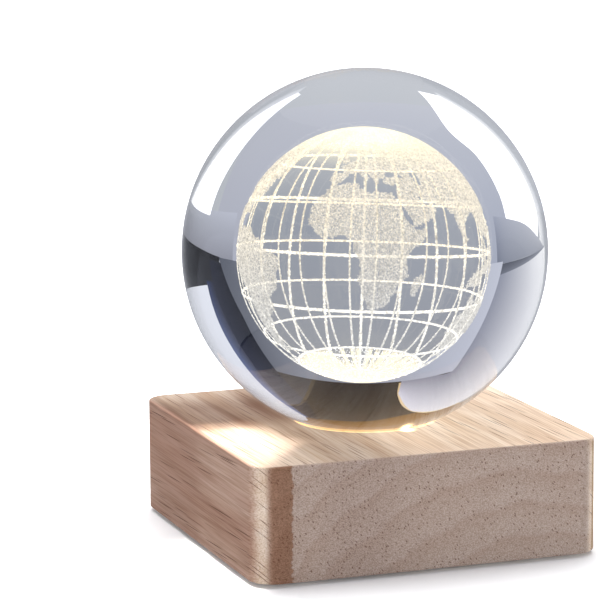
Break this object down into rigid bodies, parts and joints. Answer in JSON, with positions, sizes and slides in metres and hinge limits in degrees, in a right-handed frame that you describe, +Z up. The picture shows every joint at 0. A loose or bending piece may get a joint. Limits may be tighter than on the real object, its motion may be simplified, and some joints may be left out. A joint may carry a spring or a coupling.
{
  "type": "light-up globe award",
  "caption": "Clear crystal ball with a globe engraved inside it, resting in a dished square hardwood base that lights it from below.",
  "frame": {"origin": "middle of the square base on the surface that it stands on", "axes": "+Z up, -Y towards the front face of the base, +Y towards the power socket and the button in the rear face"},
  "size_m": [0.0796, 0.0797, 0.1024],
  "materials": {
    "crystal": "polished clear crystal glass",
    "engraving": "white dots burnt into the glass by a laser, lit warm from below",
    "wood": "sanded open-grained hardwood with a thin matt oil",
    "frosted_acrylic": "frosted acrylic",
    "white_plastic": "moulded, glossy white",
    "white_board": "white solder mask",
    "green_board": "green solder mask",
    "lamp": "white package with a yellow phosphor well",
    "ceramic": "black glazed chip",
    "steel": "bright zinc-plated steel",
    "black_plastic": "fine moulded texture",
    "rubber": "matt rubber",
    "red_sleeve": "red insulation",
    "black_sleeve": "black insulation"
  },
  "bodies": {
    "base": {"wood_base": "wood", "light_window": "frosted_acrylic", "reflector_cup": "white_plastic", "lamp_board": "white_board", "lamp_1": "lamp", "lamp_2": "lamp", "lamp_3": "lamp", "resistor_1": "ceramic", "resistor_2": "ceramic", "resistor_3": "ceramic", "lamp_board_screw_1": "steel", "lamp_board_screw_2": "steel", "power_board": "green_board", "power_board_screw_1": "steel", "power_board_screw_2": "steel", "socket_shell": "steel", "socket_tongue": "black_plastic", "switch_housing": "black_plastic", "switch_spring": "steel", "wire_red": "red_sleeve", "wire_black": "black_sleeve", "bottom_cover": "black_plastic", "cover_screw_1": "steel", "cover_screw_2": "steel", "cover_screw_3": "steel", "cover_screw_4": "steel", "foot_1": "rubber", "foot_2": "rubber", "foot_3": "rubber", "foot_4": "rubber"},
    "ball": {"glass_ball": "crystal", "engraved_globe": "engraving"},
    "button": {"button_cap": "black_plastic"}
  },
  "joints": [
    {"name": "ball_lift", "type": "slide", "parent": "base", "child": "ball", "axis": [0, 0, 1], "range_m": [0, 0.03]},
    {"name": "button_press", "type": "slide", "parent": "base", "child": "button", "axis": [0, -1, 0], "range_m": [0, 0.001], "stiffness_N_per_m": 400, "springref_m": -0.001, "deforming": ["switch_spring"]}
  ]
}
